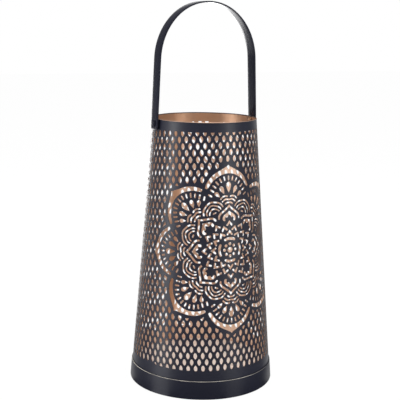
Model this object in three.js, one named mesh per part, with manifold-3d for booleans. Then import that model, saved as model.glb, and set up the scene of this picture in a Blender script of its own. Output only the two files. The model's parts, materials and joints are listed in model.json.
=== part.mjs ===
// A tapered candle lantern: a rolled sheet with a lace of holes and an eight-petalled rosette,
// a hoop round its foot, a raised floor inside, and a flat strap handle that swings on two rivets.
// Millimetres, +Z up. The origin is on the table under the middle; the rosette faces -Y.
import * as THREE from 'three';
import { mergeVertices } from 'three/addons/utils/BufferGeometryUtils.js';
import Module from 'manifold-3d';

const wasm = await Module();
wasm.setup();

// Body: a rolled, tapered sheet
const bodyHeight = 294;
const rimRadius = 56.5;
const footRadius = 79.2;
const sheetThickness = 0.7;
const hemHeight = 1.6;
const hemProud = 0.35;
const hemRounding = 0.3;
const sheetSegments = 48;

// Lace of holes in the sheet, in straight rows on the flat blank
const plainBand = 10.5;
const plainFoot = 11;
const holePitch = 16;
const holeRowStep = 13.86;
const holeWidth = 7.8;
const holeLength = 15;
const smallestCutHole = 6;
const seamLap = 10;
const seamEdge = 2.5;

// Rosette in the middle of the front
const petalCount = 8;
const rosetteRise = 3;
const rosetteBorder = 3.5;
const leastWeb = 0.8;
const eyeRadius = 2.7;
const beadDistance = 6.3;
const beadSize = 3.2;
const collarCount = 4;
const collarRadius = 11.7;
const collarWidth = 2.7;
const collarHalfSweep = 0.56;
const chevronCount = 12;
const chevronTips = [20.9, 26.1, 30.7];
const chevronHalfWidth = 3.4;
const chevronHeight = 5.2;
const chevronLine = 2.1;
const lotusTip = 46.3;
const lotusLength = 18.7;
const lotusHalfWidth = 10.9;
const lotusLine = 2.6;
const lotusShoulder = 0.44;
const lotusNeck = 0.78;
const lotusFootShare = 0.62;
const lotusNeckShare = 0.45;
const heartFoot = 31.6;
const heartLength = 8.8;
const heartHalfWidth = 5.4;
const heartShoulder = 0.36;
const heartFootShare = 0.5;
const heartNotch = 1.6;
const scallopDistance = 46.5;
const scallopRadius = 9.2;
const scallopLine = 2;
const scallopHalfSweep = 1.15;
const petalDistance = 57.2;
const petalRadius = 23.5;
const petalLine = 4;
const petalPoint = 5;
const petalHalfSweep = 1.2;
const petalPointSweep = 0.35;
const petalShoulderShare = 0.67;
const petalInnerShare = 0.9;
const barCount = 5;
const barGap = 3.5;
const barLength = 4.8;
const barWidth = 2.4;
const tearCount = 5;
const tearHalfSweep = 1.22;
const tearInner = 4.6;
const tearLength = 8.9;
const tearWidth = 4;
const tearShrink = 0.25;
const kiteWidest = 0.62;

// Base hoop and floor
const hoopHeight = 20;
const hoopThickness = 0.7;
const hoopFootWidth = 4.5;
const floorHeight = 15;
const floorThickness = 0.7;
const turnedSegments = 56;

// Strap handle
const strapWidth = 16.5;
const strapThickness = 1.6;
const strapTop = 417.8;
const strapShoulderHeight = 357;
const strapLean = 0.042;
const strapHalfSpan = 58.95;
const strapArchPower = 2.06;
const strapArchSteps = 15;
const strapEndBelowPivot = 6.5;
const pivotBelowRim = 5;

// Rivets and their washers
const journalRadius = 2.5;
const tenonRadius = 1.7;
const rivetHeadRadius = 3.6;
const rivetHeadHeight = 0.9;
const closedHeadRadius = 3;
const closedHeadHeight = 1;
const headRounding = 0.4;
const headCrown = 0.7;
const washerRadius = 4.5;
const washerThickness = 0.8;
const rivetSegments = 12;

// Clearances between pieces
const seatGap = 0.35;
const floorGap = 0.5;
const runningGap = 0.3;

// The cone, and the flat blank that it is rolled from
const taper = (footRadius - rimRadius) / bodyHeight;
const coneAngle = Math.atan(taper);
const coneSine = Math.sin(coneAngle);
const coneCosine = Math.cos(coneAngle);
const wallAt = (z) => rimRadius + (bodyHeight - z) * taper;
const slantAt = (z) => wallAt(z) / coneSine;
const wallDepth = sheetThickness / coneCosine;
const blankHalfAngle = Math.PI * coneSine;
const sheetBottom = hoopThickness + seatGap;
const holesBottom = hoopHeight + plainFoot;
const holesTop = bodyHeight - plainBand;
const rosetteSlant = slantAt((holesBottom + holesTop) / 2 + rosetteRise);
const pivotHeight = bodyHeight - pivotBelowRim;

// A place on the blank is [u, v] from the rosette's middle; the cone's tip is at [0, rosetteSlant]
const blankPoint = (slant, angle) => [slant * Math.sin(angle), rosetteSlant - slant * Math.cos(angle)];
const blankSlant = ([u, v]) => Math.hypot(u, rosetteSlant - v);
const blankAngle = ([u, v]) => Math.atan2(u, rosetteSlant - v);

// Rolls a blank point round the cone, raised by an offset along the sheet's normal
function rolled(point, offset) {
  const slant = blankSlant(point);
  const turn = blankAngle(point) / coneSine;
  const radius = slant * coneSine + offset * coneCosine;
  const z = bodyHeight - (slant - slantAt(bodyHeight)) * coneCosine + offset * coneSine;
  return [radius * Math.sin(turn), -radius * Math.cos(turn), z];
}

const turned = (points, angle) => points.map(([x, y]) => [
  x * Math.cos(angle) + y * Math.sin(angle),
  y * Math.cos(angle) - x * Math.sin(angle),
]);
const moved = (points, dx, dy) => points.map(([x, y]) => [x + dx, y + dy]);
const onCircle = (radius, angle) => [radius * Math.sin(angle), radius * Math.cos(angle)];
const polygon = (radius, sides) => Array.from({ length: sides }, (_, i) => (
  onCircle(radius, (i + 0.5) * 2 * Math.PI / sides)
));
const middleOf = (points) => points.reduce(([a, b], [u, v]) => (
  [a + u / points.length, b + v / points.length]
), [0, 0]);
const spread = (count, halfAngle) => Array.from({ length: count }, (_, i) => (
  count > 1 ? halfAngle * (2 * i / (count - 1) - 1) : 0
));

// Rosette openings, each drawn on a petal's axis, which is +y
function kite(inner, length, width) {
  const widest = inner + length * kiteWidest;
  return [[0, inner], [width / 2, widest], [0, inner + length], [-width / 2, widest]];
}

function bar(inner, length, width) {
  const outer = inner + length;
  return [[-width / 2, inner], [width / 2, inner], [width / 2, outer], [-width / 2, outer]];
}

function arcSlot(radius, width, halfSweep, steps) {
  const outer = spread(steps, halfSweep).map((angle) => onCircle(radius + width / 2, angle));
  const inner = spread(steps, halfSweep).map((angle) => onCircle(radius - width / 2, angle));
  return [...outer, ...inner.reverse()];
}

// An ogee line: from a foot out to a shoulder, in to a neck and up to the tip, and back on the other side
function lotusSlot() {
  const foot = lotusTip - lotusLength;
  const shoulder = foot + lotusLength * lotusShoulder;
  const neck = foot + lotusLength * lotusNeck;
  const footX = lotusHalfWidth * lotusFootShare;
  const neckX = lotusHalfWidth * lotusNeckShare;
  const outer = [[footX, foot], [lotusHalfWidth, shoulder], [neckX, neck], [0, lotusTip]];
  const inner = [
    [footX - lotusLine * 0.7, foot + lotusLine], [lotusHalfWidth - lotusLine, shoulder],
    [neckX - lotusLine * 0.5, neck - lotusLine * 0.8], [0, lotusTip - lotusLine * 1.2],
  ];
  const mirrored = (points) => points.slice(0, -1).reverse().map(([x, y]) => [-x, y]);
  return [...outer, ...mirrored(outer), ...mirrored(inner).reverse(), ...inner.reverse()];
}

function heart() {
  const shoulder = heartFoot + heartLength * heartShoulder;
  const footX = heartHalfWidth * heartFootShare;
  return [
    [0, heartFoot + heartLength], [heartHalfWidth, shoulder], [footX, heartFoot],
    [0, heartFoot + heartNotch], [-footX, heartFoot], [-heartHalfWidth, shoulder],
  ];
}

// A small roof that points outwards
function chevron(tip) {
  const end = tip - chevronHeight;
  const inset = chevronHalfWidth - chevronLine;
  return [
    [0, tip], [chevronHalfWidth, end + chevronLine / 2], [inset, end],
    [0, tip - chevronLine], [-inset, end], [-chevronHalfWidth, end + chevronLine / 2],
  ];
}

// A crescent round the petal, thin at its ends and pointed in the middle
function petalSlot() {
  const full = petalRadius + petalLine;
  const outer = [
    [petalHalfSweep, petalRadius + petalLine / 2], [petalHalfSweep * petalShoulderShare, full],
    [petalPointSweep, full], [0, full + petalPoint],
  ];
  const both = [...outer, ...outer.slice(0, -1).reverse().map(([angle, radius]) => [-angle, radius])];
  const inner = spread(5, petalHalfSweep * petalInnerShare).map((angle) => onCircle(petalRadius, angle));
  return [...both.map(([angle, radius]) => onCircle(radius, angle)), ...inner];
}

function petalFan() {
  const barInner = petalRadius - barGap - barLength;
  const bars = spread(barCount, Math.PI / 2).map((angle) => (
    turned(bar(barInner, barLength, barWidth), angle)
  ));
  const tears = spread(tearCount, tearHalfSweep).map((angle) => {
    const scale = 1 - tearShrink * Math.abs(angle);
    return turned(kite(tearInner, tearLength * scale, tearWidth * scale), angle);
  });
  return [petalSlot(), ...bars, ...tears].map((points) => moved(points, 0, petalDistance));
}

function rosetteOpenings() {
  const collar = arcSlot(collarRadius, collarWidth, collarHalfSweep, 3);
  const onAxis = [
    kite(beadDistance - beadSize / 2, beadSize, beadSize), lotusSlot(), heart(), ...petalFan(),
  ];
  const offAxis = [
    moved(arcSlot(scallopRadius, scallopLine, scallopHalfSweep, 4), 0, scallopDistance),
    moved(kite(0, scallopRadius / 2, scallopRadius / 2), 0, scallopDistance),
  ];
  const round = (shapes, count, offset) => spread(count, Math.PI * (1 - 1 / count)).flatMap((angle) => (
    shapes.map((points) => turned(points, angle + offset))
  ));
  const chevrons = chevronTips.flatMap((tip, ring) => (
    round([chevron(tip)], chevronCount, (ring + 1) * Math.PI / chevronCount)
  ));
  return [
    polygon(eyeRadius, 6), ...round([collar], collarCount, Math.PI / collarCount),
    ...round(onAxis, petalCount, Math.PI / petalCount), ...round(offAxis, petalCount, 0), ...chevrons,
  ];
}

// True where a point lies within the rosette's lobed border: a disc and a pointed tip on each petal
function inRosette([u, v]) {
  const step = 2 * Math.PI / petalCount;
  const angle = Math.atan2(u, v);
  const folded = angle - Math.round(angle / step) * step;
  const distance = Math.hypot(u, v);
  const across = Math.abs(distance * Math.sin(folded));
  const along = distance * Math.cos(folded) - petalDistance;
  const disc = petalRadius + petalLine + rosetteBorder;
  const tip = disc + petalPoint;
  const slope = disc / tip;
  const rise = Math.sqrt(1 - slope * slope);
  const underTip = along > disc * slope && (along - tip) * slope + across * rise < 0;
  return along < 0 || Math.hypot(along, across) < disc || underTip;
}

// Keeps the openings that leave a web of metal to all that stand before them in the list
function apart(openings) {
  const gap = (point, [x0, y0], [x1, y1]) => {
    const [dx, dy] = [x1 - x0, y1 - y0];
    const share = ((point[0] - x0) * dx + (point[1] - y0) * dy) / (dx * dx + dy * dy);
    const held = Math.min(Math.max(share, 0), 1);
    return Math.hypot(point[0] - x0 - held * dx, point[1] - y0 - held * dy);
  };
  const inside = ([x, y], points) => points.reduce((within, [x0, y0], i) => {
    const [x1, y1] = points[(i + 1) % points.length];
    const crosses = (y0 > y) !== (y1 > y) && x < x0 + (y - y0) / (y1 - y0) * (x1 - x0);
    return crosses ? !within : within;
  }, false);
  const close = (one, two) => one.some((point) => inside(point, two) || two.some((start, i) => (
    gap(point, start, two[(i + 1) % two.length]) < leastWeb
  )));
  const reach = (points) => {
    const [x, y] = middleOf(points);
    return { x, y, radius: Math.max(...points.map((point) => Math.hypot(point[0] - x, point[1] - y))) };
  };
  const kept = [];
  for (const points of openings) {
    const circle = reach(points);
    const near = kept.filter((other) => (
      Math.hypot(circle.x - other.circle.x, circle.y - other.circle.y)
        < circle.radius + other.circle.radius + leastWeb
    ));
    const clear = near.every((other) => !close(points, other.points) && !close(other.points, points));
    if (clear) kept.push({ points, circle });
  }
  return kept.map((opening) => opening.points);
}

// Cuts a polygon on the blank by a line square to a slant line: keeps slants from low to high
function trimmed(points, low, high) {
  const angle = blankAngle(middleOf(points));
  const depth = ([u, v]) => u * Math.sin(angle) + (rosetteSlant - v) * Math.cos(angle);
  const cut = (outline, over) => outline.flatMap((point, i) => {
    const next = outline[(i + 1) % outline.length];
    const here = over(point);
    const there = over(next);
    const kept = here <= 0 ? [point] : [];
    if ((here <= 0) === (there <= 0)) return kept;
    const share = here / (here - there);
    return [...kept, [point[0] + share * (next[0] - point[0]), point[1] + share * (next[1] - point[1])]];
  });
  return cut(cut(points, (point) => low - depth(point)), (point) => depth(point) - high);
}

function laceOpenings() {
  const diamond = [[0, -holeLength / 2], [holeWidth / 2, 0], [0, holeLength / 2], [-holeWidth / 2, 0]];
  const low = slantAt(holesTop);
  const high = slantAt(holesBottom);
  const firstRow = rosetteSlant - high + holeLength / 2;
  const lastRow = rosetteSlant - low * Math.cos(blankHalfAngle) + holeLength / 2;
  const columns = Math.ceil(high * Math.sin(blankHalfAngle) / holePitch) + 1;
  const openings = [];
  for (let row = 0; firstRow + row * holeRowStep < lastRow; row += 1) {
    for (let column = -columns; column <= columns; column += 1) {
      const u = (column + (row % 2) / 2) * holePitch;
      const hole = trimmed(moved(diamond, u, firstRow + row * holeRowStep), low, high);
      const slants = hole.map(blankSlant);
      const clearOfSeam = hole.every((point) => {
        const fromStart = (blankHalfAngle + blankAngle(point)) * blankSlant(point);
        const fromEnd = (blankHalfAngle - blankAngle(point)) * blankSlant(point);
        return fromStart > seamLap && fromEnd > seamEdge;
      });
      const longEnough = Math.max(...slants) - Math.min(...slants) > smallestCutHole;
      if (longEnough && clearOfSeam && !hole.some(inRosette)) openings.push(hole);
    }
  }
  return openings;
}

function pivotOpenings() {
  return [-1, 1].map((side) => {
    const [u, v] = blankPoint(slantAt(pivotHeight), side * Math.PI / 2 * coneSine);
    return moved(polygon((tenonRadius + runningGap) / Math.cos(Math.PI / 8), 8), u, v);
  });
}

// Triangles between an outline, its holes and its loose points. They are found on a slightly turned
// copy, where no two rows are level, and their edges are flipped until none is needlessly long.
function meshed(outline, holes, loosePoints) {
  const slightTurn = 0.3;
  const points = [...outline, ...holes.flat(), ...loosePoints];
  const flat = (list) => turned(list, slightTurn).map(([x, y]) => new THREE.Vector2(x, y));
  const inner = [...holes, ...loosePoints.map((point) => [point])];
  const faces = THREE.ShapeUtils.triangulateShape(flat(outline), inner.map(flat));
  const area = (a, b, c) => (points[b][0] - points[a][0]) * (points[c][1] - points[a][1])
    - (points[c][0] - points[a][0]) * (points[b][1] - points[a][1]);
  const cotangent = (a, b, c) => {
    const [x1, y1] = [points[a][0] - points[c][0], points[a][1] - points[c][1]];
    const [x2, y2] = [points[b][0] - points[c][0], points[b][1] - points[c][1]];
    return (x1 * x2 + y1 * y2) / Math.max(area(a, b, c), 1e-12);
  };
  const name = (a, b) => a * points.length + b;
  const owner = new Map();
  const claim = (index, a, b, c) => {
    faces[index] = [a, b, c];
    owner.set(name(a, b), index);
    owner.set(name(b, c), index);
    owner.set(name(c, a), index);
  };
  const clockwise = faces.reduce((sum, [a, b, c]) => sum + area(a, b, c), 0) < 0;
  faces.forEach(([a, b, c], index) => (clockwise ? claim(index, a, c, b) : claim(index, a, b, c)));
  const queue = faces.flatMap(([a, b, c]) => [[a, b], [b, c], [c, a]]);
  while (queue.length > 0) {
    const [a, b] = queue.pop();
    const one = owner.get(name(a, b));
    const two = owner.get(name(b, a));
    if (one === undefined || two === undefined) continue;
    const c = faces[one].find((corner) => corner !== a && corner !== b);
    const d = faces[two].find((corner) => corner !== a && corner !== b);
    if (area(a, d, c) < 1e-9 || area(d, b, c) < 1e-9) continue;
    if (cotangent(a, b, c) + cotangent(b, a, d) > -1e-7) continue;
    owner.delete(name(a, b));
    owner.delete(name(b, a));
    claim(one, a, d, c);
    claim(two, d, b, c);
    queue.push([a, d], [d, b], [b, c], [c, a]);
  }
  return { points, faces };
}

function shellGeometry() {
  const bottomSlant = slantAt(sheetBottom);
  const topSlant = slantAt(bodyHeight - hemHeight);
  const angles = spread(sheetSegments + 1, blankHalfAngle);
  const bottomEdge = angles.map((angle) => blankPoint(bottomSlant, angle));
  const topEdge = angles.map((angle) => blankPoint(topSlant, angle)).reverse();
  const hoopLine = angles.slice(1, -1).map((angle) => blankPoint(slantAt(hoopHeight), angle));
  const outline = [...bottomEdge, ...topEdge];
  const holes = apart([...pivotOpenings(), ...rosetteOpenings(), ...laceOpenings()]);
  const { points, faces } = meshed(outline, holes, hoopLine);

  // The blank's two straight edges meet at the seam, so their corners are shared
  const seamTwin = new Map([
    [sheetSegments, 0],
    [sheetSegments + 1, 2 * sheetSegments + 1],
  ]);
  const shared = (index) => seamTwin.get(index) ?? index;
  const count = points.length;
  const positions = [
    ...points.flatMap((point) => rolled(point, 0)),
    ...points.flatMap((point) => rolled(point, -sheetThickness)),
  ];
  const hemSteps = [
    [hemHeight - hemRounding, hemProud], [hemRounding, hemProud],
    [0, hemProud - hemRounding], [0, hemRounding - sheetThickness],
  ];
  const hemStart = positions.length / 3;
  for (const [below, proud] of hemSteps) {
    for (const angle of angles.slice().reverse()) {
      positions.push(...rolled(blankPoint(slantAt(bodyHeight - below), angle), proud));
    }
  }
  const triangles = [];
  const edges = new Set();
  const edgeName = (a, b) => a * count + b;
  for (const face of faces) {
    const [a, b, c] = face.map(shared);
    triangles.push([a, b, c], [c + count, b + count, a + count]);
    edges.add(edgeName(a, b)).add(edgeName(b, c)).add(edgeName(c, a));
  }
  const onTop = (index) => index > sheetSegments && index < outline.length;
  const hemPoint = (index, step) => hemStart + step * (sheetSegments + 1) + (index - sheetSegments - 1)
    % sheetSegments;
  for (const edge of edges) {
    const a = Math.floor(edge / count);
    const b = edge % count;
    if (edges.has(edgeName(b, a))) continue;
    const ladder = [[a, b]];
    if (onTop(a) && onTop(b)) {
      hemSteps.forEach((_, step) => ladder.push([hemPoint(a, step), hemPoint(b, step)]));
    }
    ladder.push([a + count, b + count]);
    for (let rung = 0; rung + 1 < ladder.length; rung += 1) {
      const [a1, b1] = ladder[rung];
      const [a2, b2] = ladder[rung + 1];
      triangles.push([b1, a1, a2], [b1, a2, b2]);
    }
  }
  return trianglesToGeometry(positions, triangles);
}

// Keeps only the corners that a triangle uses
function trianglesToGeometry(positions, triangles) {
  const corners = new Map();
  const used = [];
  const index = triangles.flat().map((corner) => {
    if (!corners.has(corner)) {
      corners.set(corner, used.length / 3);
      used.push(...positions.slice(corner * 3, corner * 3 + 3));
    }
    return corners.get(corner);
  });
  const geometry = new THREE.BufferGeometry();
  geometry.setAttribute('position', new THREE.Float32BufferAttribute(used, 3));
  geometry.setIndex(index);
  return geometry;
}

function latheGeometry(profile, segments) {
  return new THREE.LatheGeometry(profile.map(([radius, z]) => new THREE.Vector2(radius, z)), segments);
}

// An L-shaped hoop: its wall hugs the sheet and its turned-in foot carries the sheet and the floor
function hoopGeometry() {
  const inside = (z) => wallAt(z) + seatGap;
  const outside = (z) => inside(z) + hoopThickness;
  const profile = [
    [outside(0) - hoopFootWidth, 0], [outside(0), 0], [outside(hoopHeight), hoopHeight],
    [inside(hoopHeight), hoopHeight], [inside(hoopThickness), hoopThickness],
    [outside(0) - hoopFootWidth, hoopThickness], [outside(0) - hoopFootWidth, 0],
  ];
  return latheGeometry(profile, turnedSegments).rotateX(Math.PI / 2);
}

// A shallow pressed pan, upside down: its skirt stands on the hoop's foot inside the sheet
function floorGeometry() {
  const edge = (z) => wallAt(z) - wallDepth - floorGap;
  const underside = floorHeight - floorThickness;
  const profile = [
    [0, underside], [edge(underside) - floorThickness, underside],
    [edge(sheetBottom) - floorThickness, sheetBottom], [edge(sheetBottom), sheetBottom],
    [edge(floorHeight), floorHeight], [0, floorHeight],
  ];
  return latheGeometry(profile, turnedSegments).rotateX(Math.PI / 2);
}

// Solids for cutting and joining
function solid(geometry) {
  const plain = geometry.clone();
  plain.deleteAttribute('normal');
  plain.deleteAttribute('uv');
  const merged = mergeVertices(plain, 1e-4);
  return new wasm.Manifold(new wasm.Mesh({
    numProp: 3,
    vertProperties: new Float32Array(merged.attributes.position.array),
    triVerts: new Uint32Array(merged.index.array),
  }));
}

function solidGeometry(manifold) {
  const mesh = manifold.getMesh();
  const geometry = new THREE.BufferGeometry();
  geometry.setAttribute('position', new THREE.BufferAttribute(mesh.vertProperties, 3));
  geometry.setIndex(new THREE.BufferAttribute(mesh.triVerts, 1));
  return geometry;
}

// Middle line of the strap: straight leaning legs, then an arch with squared shoulders
function strapHalfLine() {
  const spanAt = (z) => strapHalfSpan - strapLean * (z - pivotHeight);
  const crown = strapTop - strapThickness / 2;
  const rise = crown - strapShoulderHeight;
  const foot = pivotHeight - strapEndBelowPivot;
  const line = [[spanAt(foot), foot]];
  for (let step = 0; step <= strapArchSteps; step += 1) {
    const angle = step / strapArchSteps * Math.PI / 2;
    const z = strapShoulderHeight + rise * Math.sin(angle) ** (2 / strapArchPower);
    line.push([spanAt(z) * Math.cos(angle) ** (2 / strapArchPower), z]);
  }
  line[line.length - 1][0] = 0;
  return line;
}

function strapGeometry() {
  const half = strapHalfLine();
  const line = [...half, ...half.slice(0, -1).reverse().map(([x, z]) => [-x, z])];
  const side = (offset) => line.map(([x, z], i) => {
    const [x0, z0] = line[Math.max(i - 1, 0)];
    const [x1, z1] = line[Math.min(i + 1, line.length - 1)];
    const length = Math.hypot(x1 - x0, z1 - z0);
    return new THREE.Vector2(x + offset * (z1 - z0) / length, z - offset * (x1 - x0) / length);
  });
  const outline = [...side(strapThickness / 2), ...side(-strapThickness / 2).reverse()];
  const flatBar = { depth: strapWidth, bevelEnabled: false };
  const bent = new THREE.ExtrudeGeometry(new THREE.Shape(outline), flatBar);
  bent.rotateX(Math.PI / 2).translate(0, strapWidth / 2, 0);
  const boreRadius = (journalRadius + runningGap) / Math.cos(Math.PI / rivetSegments);
  const bore = new THREE.CylinderGeometry(boreRadius, boreRadius, 3 * strapHalfSpan, rivetSegments);
  bore.rotateZ(Math.PI / 2).translate(0, 0, pivotHeight);
  return solidGeometry(solid(bent).subtract(solid(bore)));
}

// Places along the pivot's axis, outwards from the lantern's middle
const wallOutside = wallAt(pivotHeight);
const washerSag = rimRadius - Math.sqrt(rimRadius ** 2 - washerRadius ** 2);
const washerOutside = wallOutside - wallDepth - washerRadius * taper - washerSag - runningGap;
const washerInside = washerOutside - washerThickness;
const closedHeadOutside = washerInside - runningGap;
const journalStart = wallOutside + journalRadius * taper + seatGap;
const boreLean = strapLean * (journalRadius + runningGap);
const headStart = strapHalfSpan + strapThickness / 2 + boreLean + runningGap;

function rivetGeometry() {
  const profile = [
    [0, closedHeadOutside - closedHeadHeight],
    [closedHeadRadius * headCrown, closedHeadOutside - closedHeadHeight],
    [closedHeadRadius, closedHeadOutside - closedHeadHeight * (1 - headRounding)],
    [closedHeadRadius, closedHeadOutside],
    [tenonRadius, closedHeadOutside],
    [tenonRadius, journalStart],
    [journalRadius, journalStart],
    [journalRadius, headStart],
    [rivetHeadRadius, headStart],
    [rivetHeadRadius, headStart + rivetHeadHeight * headRounding],
    [rivetHeadRadius * headCrown, headStart + rivetHeadHeight],
    [0, headStart + rivetHeadHeight],
  ];
  return latheGeometry(profile, rivetSegments);
}

function washerGeometry() {
  const bore = (tenonRadius + runningGap) / Math.cos(Math.PI / rivetSegments);
  const profile = [
    [bore, washerInside], [washerRadius, washerInside], [washerRadius, washerOutside],
    [bore, washerOutside], [bore, washerInside],
  ];
  return latheGeometry(profile, rivetSegments);
}

const finish = (color, roughness, metalness) => (
  new THREE.MeshStandardMaterial({ color, roughness, metalness })
);
const blackPaint = finish(0x30323c, 0.45, 0.3);
const copperPaint = finish(0xc58a63, 0.4, 0.7);
const bareSteel = finish(0x8d8a88, 0.4, 0.9);

function named(name, geometry, material) {
  const mesh = new THREE.Mesh(geometry, material);
  mesh.name = name;
  return mesh;
}

const lantern = new THREE.Group();
lantern.add(named('perforated_shell', shellGeometry(), blackPaint));
lantern.add(named('base_hoop', hoopGeometry(), blackPaint));
lantern.add(named('floor_plate', floorGeometry(), copperPaint));
lantern.add(named('handle_strap', strapGeometry(), blackPaint));
for (const [side, sign] of [['left', 1], ['right', -1]]) {
  const pivot = new THREE.Group();
  pivot.position.z = pivotHeight;
  pivot.rotation.z = sign * Math.PI / 2;
  pivot.add(named(`rivet_${side}`, rivetGeometry(), blackPaint));
  pivot.add(named(`rivet_washer_${side}`, washerGeometry(), bareSteel));
  lantern.add(pivot);
}

export default lantern;
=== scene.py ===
# A tapered candle lantern in blue-black paint, copper-coloured inside, with a rosette cut in its front.
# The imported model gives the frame, and the sections follow the lantern as it is made: the sheet is cut,
# rolled and hemmed, the hoop and the floor are set in its foot, and the handle is riveted on last.
import json
import math

import bpy
import numpy as np
from mathutils import Matrix, Vector
from mathutils.geometry import delaunay_2d_cdt


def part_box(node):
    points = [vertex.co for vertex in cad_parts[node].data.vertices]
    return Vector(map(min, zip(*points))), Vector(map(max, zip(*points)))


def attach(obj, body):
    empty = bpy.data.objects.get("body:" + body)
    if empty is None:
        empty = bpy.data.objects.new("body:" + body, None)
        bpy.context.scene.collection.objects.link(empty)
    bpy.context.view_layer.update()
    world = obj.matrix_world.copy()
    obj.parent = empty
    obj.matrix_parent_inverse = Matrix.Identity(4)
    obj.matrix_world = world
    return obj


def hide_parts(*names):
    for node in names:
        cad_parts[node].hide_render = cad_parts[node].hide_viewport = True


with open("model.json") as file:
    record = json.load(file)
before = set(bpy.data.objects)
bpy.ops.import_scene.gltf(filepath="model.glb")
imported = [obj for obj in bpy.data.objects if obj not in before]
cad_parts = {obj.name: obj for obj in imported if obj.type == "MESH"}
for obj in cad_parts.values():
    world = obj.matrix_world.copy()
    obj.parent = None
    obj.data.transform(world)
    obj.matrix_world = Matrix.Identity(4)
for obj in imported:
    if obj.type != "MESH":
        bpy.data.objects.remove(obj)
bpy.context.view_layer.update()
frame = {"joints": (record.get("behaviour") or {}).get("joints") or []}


# The blank of the body.
# A sector of 0.7 mm mild steel, cut flat with a lace of small almond holes. The rows are straight on the
# flat sheet, so once it is rolled they bend into shallow arcs. Plain margins are left all round.
# Places on the blank are complex numbers in millimetres, x to the right and y up, from the rosette's middle.
mm = 0.001
sheet_thickness = 0.7
rim_radius = 56.5
foot_radius = 79.2
body_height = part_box("perforated_shell")[1].z / mm
sheet_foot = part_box("perforated_shell")[0].z / mm
taper = (foot_radius - rim_radius) / body_height
lean = math.atan(taper)
rosette_height = 160.25
seam_turn = math.radians(-178.2)
lap_width = 6.0
joggle_width = 2.2

hole_pitch = 8.0
hole_row_step = 6.95
hole_width = 3.9
hole_length = 7.4
lace_turn = np.exp(0.0063j)
lace_start = 0.47 - 126.1j
holes_bottom = 31.0
holes_top = 283.5
seam_margin = 1.5
least_share = 0.3

petal_count = 8
petal_distance = 57.2
petal_reach = 31.0
petal_tip_reach = 36.0
rosette_turn = 1.004 * np.exp(0.0093j)
rosette_middle = 0.3 + 0.2j


def wall_radius(z):
    """The cone's outside radius at a height: it narrows evenly from the foot to the rim."""
    return rim_radius + (body_height - z) * taper


def slant_at(z):
    """The distance on the blank from the cone's tip to a height: the radius over the sine of the lean."""
    return wall_radius(z) / math.sin(lean)


cone_tip = 1j * slant_at(rosette_height)
seam_start = seam_turn * math.sin(lean)
seam_end = (seam_turn + 2 * math.pi) * math.sin(lean)


def on_blank(slant, angle):
    """The place at a distance and an angle from the cone's tip, where angle 0 points straight down."""
    return cone_tip + slant * np.exp(1j * (angle - math.pi / 2))


def almond(width, length, steps):
    """Two equal arcs that meet in points. Each arc's radius follows from its chord and its rise."""
    radius = (length**2 + width**2) / (4 * width)
    rise = np.linspace(-1, 1, steps + 1) * length / 2
    half_width = np.sqrt(radius**2 - rise**2) - (radius - width / 2)
    right = half_width + 1j * rise
    return np.concatenate([right, -np.conj(right[-2:0:-1])])


def on_rosette(points):
    """Where places on the blank lie for the rosette, which was cut a little off square."""
    return (points - rosette_middle) / rosette_turn


def border_radius(points):
    """The distance from the rosette's middle to its plain border, in the direction of each point:
    a disc round each petal, and the two lines that run from the petal's tip and touch the disc."""
    step = 2 * math.pi / petal_count
    folded = (np.angle(points / 1j) + step / 2) % step - step / 2
    across = petal_distance * np.sin(folded)
    disc = petal_distance * np.cos(folded) + np.sqrt(petal_reach**2 - across**2)
    slope = petal_reach / petal_tip_reach
    reach = petal_reach + petal_distance * slope
    touch = math.sqrt(1 - slope**2)
    tip = reach / (slope * np.cos(folded) + touch * np.abs(np.sin(folded)))
    on_tip = np.abs(folded) < math.atan2(petal_reach * touch, petal_distance + petal_reach * slope)
    return np.where(on_tip, tip, disc)


def inside_margins(points):
    """Slides points that lie in a plain margin to its edge: along the slant at the rim and the foot,
    square to the seam at the seam, and away from the rosette's middle at the rosette."""
    arm = points - cone_tip
    arm *= np.clip(np.abs(arm), slant_at(holes_top), slant_at(holes_bottom)) / np.abs(arm)
    for edge, side, margin in (
        (seam_start, 1, lap_width + joggle_width),
        (seam_end, -1, seam_margin),
    ):
        along = np.exp(1j * (edge - math.pi / 2))
        turned = arm / along
        arm = (turned.real + 1j * side * np.maximum(side * turned.imag, margin)) * along
    local = on_rosette(cone_tip + arm)
    distance = np.maximum(np.abs(local), 1e-6)
    return rosette_middle + local * np.maximum(border_radius(local) / distance, 1) * rosette_turn


def area(outlines):
    """The area inside each closed outline, by the shoelace sum over its sides."""
    following = np.roll(outlines, -1, axis=-1)
    return 0.5 * np.sum((np.conj(outlines) * following).imag, axis=-1)


def rounded_out(outline):
    """Drops the points where an outline doesn't turn left, until it turns left at every one."""
    turns_left = np.zeros(len(outline), bool)
    while not turns_left.all():
        here = outline - np.roll(outline, 1)
        turns_left = (np.conj(here) * np.roll(here, -1)).imag > 1e-3
        outline = outline[turns_left]
    return outline


def lace_holes():
    """A lattice of almonds, every other row shifted by half a pitch, with its margins left plain."""
    rows = np.arange(-2, 44)
    columns = np.arange(-33, 34)
    column, row = np.meshgrid(columns, rows)
    flat = (column + row % 2 / 2) * hole_pitch + 1j * row * hole_row_step
    middles = lace_start + flat.ravel() * lace_turn
    whole = almond(hole_width, hole_length, 8) * lace_turn
    cut = inside_margins(middles[:, None] + whole)
    share = area(cut) / area(whole)
    local = on_rosette(middles)
    outside_rosette = np.abs(local) > border_radius(local) - hole_width / 2
    return [rounded_out(hole) for hole in cut[outside_rosette & (share > least_share)]]


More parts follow.
